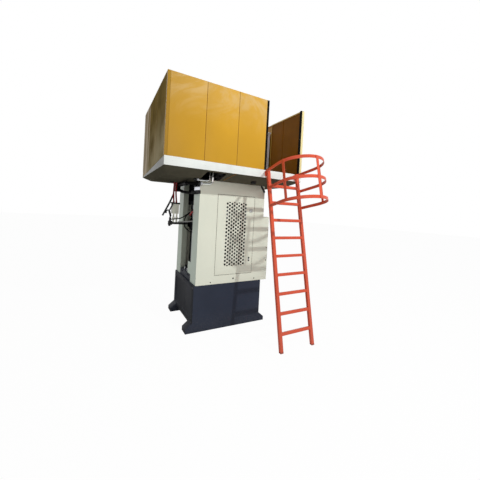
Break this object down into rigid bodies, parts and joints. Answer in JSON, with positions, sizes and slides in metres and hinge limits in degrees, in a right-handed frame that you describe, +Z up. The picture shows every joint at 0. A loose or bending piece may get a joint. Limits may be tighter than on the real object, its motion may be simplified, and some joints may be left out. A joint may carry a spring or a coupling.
{
  "type": "hydraulic press",
  "caption": "Four-column hydraulic press with sheet metal uprights, a side service door, and a guarded maintenance platform reached by an inclined ladder with a safety cage.",
  "frame": {"origin": "on the floor under the middle of the whole outline, ladder cage included", "axes": "+Z up, +X towards the ladder side, -Y towards the operator's front"},
  "size_m": [2.5396, 2.126, 3.406],
  "materials": {
    "navy_blue_machine_paint": "navy blue machine paint",
    "ground_and_chromed_steel": "ground and chromed steel",
    "machined_steel": "machined steel",
    "grey_paint": "grey paint",
    "cream_powder_paint": "cream powder paint",
    "perforated_sheet_painted": "perforated sheet, painted",
    "dark_olive_paint": "dark olive paint",
    "off_white_paint": "off-white paint",
    "glossy_ochre_paint": "glossy ochre paint",
    "glossy_light_ochre_paint": "glossy light ochre paint",
    "black_rubber": "black rubber",
    "dark_red_rubber": "dark red rubber",
    "bright_steel_pipe": "bright steel pipe",
    "black_paint": "black paint",
    "orange_red_paint": "orange-red paint"
  },
  "bodies": {
    "press_frame": {"base_frame": "navy_blue_machine_paint", "bolster": "navy_blue_machine_paint", "crown": "navy_blue_machine_paint", "front_near_column": "ground_and_chromed_steel", "front_far_column": "ground_and_chromed_steel", "rear_near_column": "ground_and_chromed_steel", "rear_far_column": "ground_and_chromed_steel", "front_near_column_nut": "machined_steel", "front_far_column_nut": "machined_steel", "rear_near_column_nut": "machined_steel", "rear_far_column_nut": "machined_steel", "main_cylinder": "grey_paint", "ejector_cylinder": "grey_paint", "oil_tank": "grey_paint", "pump_motor": "grey_paint", "deck_plate": "grey_paint", "near_upright": "cream_powder_paint", "far_upright": "cream_powder_paint", "near_side_panel": "cream_powder_paint", "far_side_panel": "cream_powder_paint", "rear_cover": "cream_powder_paint", "valve_box": "cream_powder_paint", "rear_near_post": "cream_powder_paint", "soffit": "dark_olive_paint", "fascia": "off_white_paint", "near_wall_panel_1": "glossy_ochre_paint", "near_wall_panel_2": "glossy_ochre_paint", "near_wall_panel_3": "glossy_ochre_paint", "front_wall_panel_1": "glossy_ochre_paint", "front_wall_panel_2": "glossy_ochre_paint", "front_wall_panel_3": "glossy_ochre_paint", "far_wall_panel_1": "glossy_ochre_paint", "far_wall_panel_2": "glossy_ochre_paint", "rear_wall_panel_1": "glossy_ochre_paint", "rear_wall_panel_2": "glossy_ochre_paint", "rear_wall_panel_3": "glossy_ochre_paint", "front_far_post": "glossy_ochre_paint", "rear_far_post": "glossy_ochre_paint", "front_near_post": "glossy_light_ochre_paint", "near_jamb_seal": "black_rubber", "rear_jamb_seal": "black_rubber", "upper_hose": "black_rubber", "lower_hose": "black_rubber", "sensor_cable": "black_rubber", "loop_cable": "black_rubber", "red_hose_1": "dark_red_rubber", "red_hose_2": "dark_red_rubber", "pressure_pipe": "bright_steel_pipe", "branch_pipe": "bright_steel_pipe", "front_arm": "black_paint", "hose_manifold": "black_paint", "ladder_frame": "orange_red_paint", "ladder_cage": "orange_red_paint"},
    "press_slide": {"slide": "navy_blue_machine_paint", "ram": "ground_and_chromed_steel"},
    "ejector": {"ejector_rod": "ground_and_chromed_steel"},
    "door": {"side_door": "cream_powder_paint", "vent_grille": "perforated_sheet_painted"},
    "upper_lock": {"upper_door_lock": "machined_steel"},
    "lower_lock": {"lower_door_lock": "machined_steel"}
  },
  "joints": [
    {"name": "slide_stroke", "type": "slide", "parent": "press_frame", "child": "press_slide", "axis": [0, 0, 1], "range_m": [-0.4, 0]},
    {"name": "ejector_stroke", "type": "slide", "parent": "press_frame", "child": "ejector", "axis": [0, 0, 1], "range_m": [0, 0.12]},
    {"name": "side_door_hinge", "type": "hinge", "parent": "press_frame", "child": "door", "pos_m": [0.06769, -0.154, 1.417], "axis": [0, 0, 1], "range_deg": [-110, 0]},
    {"name": "upper_lock_turn", "type": "hinge", "parent": "door", "child": "upper_lock", "pos_m": [0.07519, 0.415, 1.8], "axis": [1, 0, 0], "range_deg": [-90, 0]},
    {"name": "lower_lock_turn", "type": "hinge", "parent": "door", "child": "lower_lock", "pos_m": [0.07519, 0.415, 1.03], "axis": [1, 0, 0], "range_deg": [-90, 0]}
  ]
}
